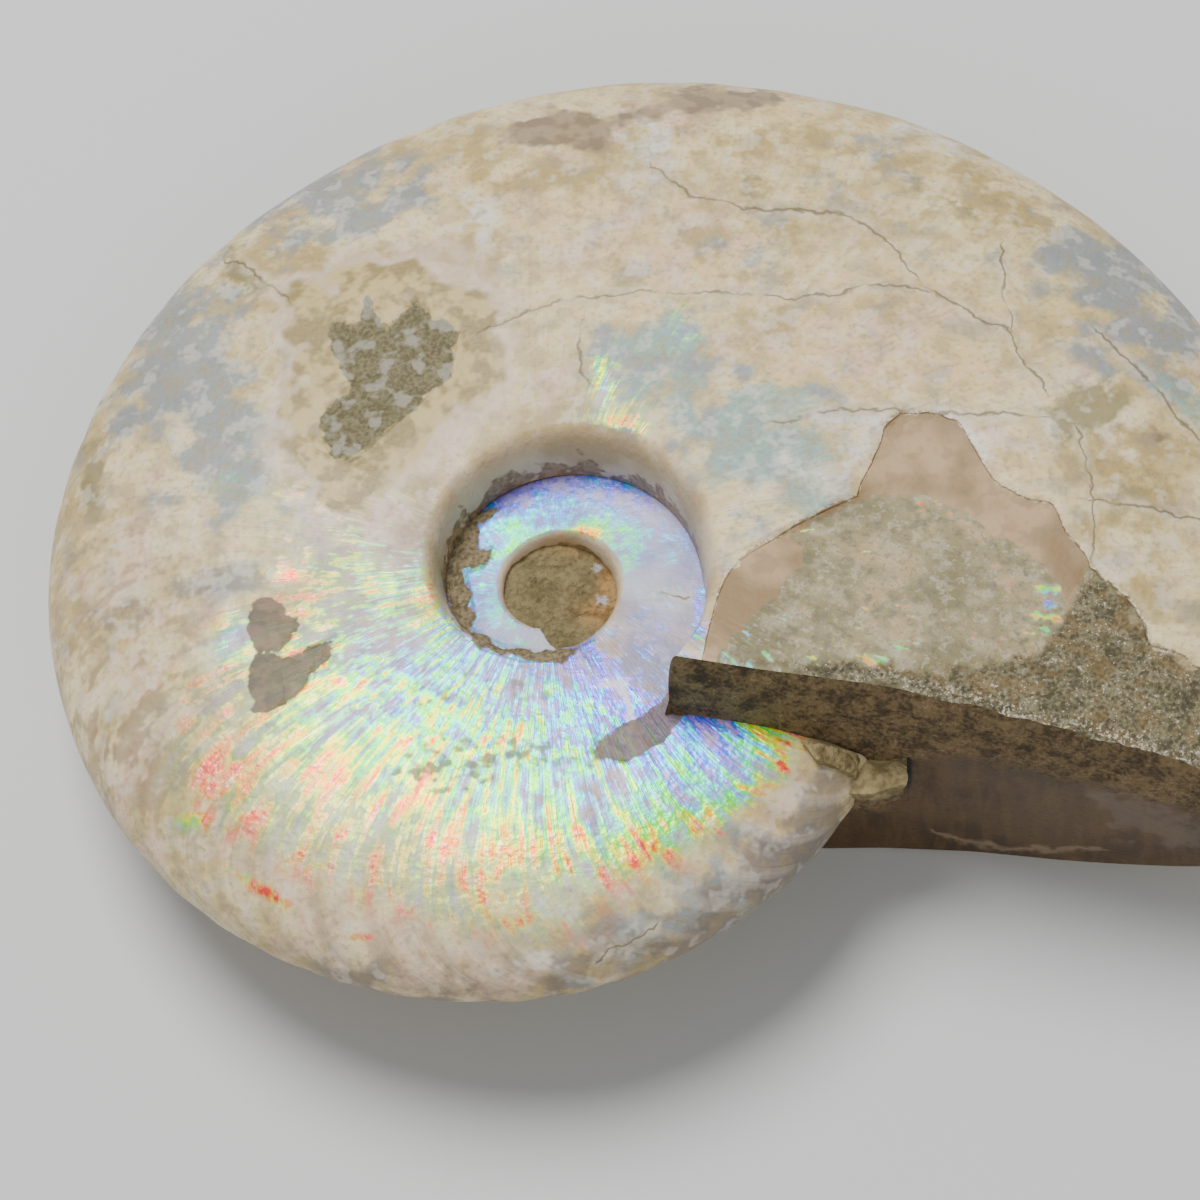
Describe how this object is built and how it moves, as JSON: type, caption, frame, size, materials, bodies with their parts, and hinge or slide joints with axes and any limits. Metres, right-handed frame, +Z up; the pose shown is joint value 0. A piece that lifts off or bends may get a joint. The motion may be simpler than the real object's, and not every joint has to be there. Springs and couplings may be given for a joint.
{
  "type": "ammonite fossil",
  "caption": "Coiled ammonite fossil lying on one flank, its last whorl broken across to show the stone fill.",
  "frame": {"origin": "middle of the bounding box, on the surface the fossil rests on", "axes": "+X along the longest extent, towards the broken end of the last whorl; +Y across the coil, away from the broken face; +Z up, out of the upper flank"},
  "size_m": [0.0834, 0.068, 0.0209],
  "materials": {
    "fossil": "pearly fossil shell, cream to iridescent, over rough olive-brown stone"
  },
  "bodies": {
    "root": {"ammonite": "fossil"}
  },
  "joints": []
}
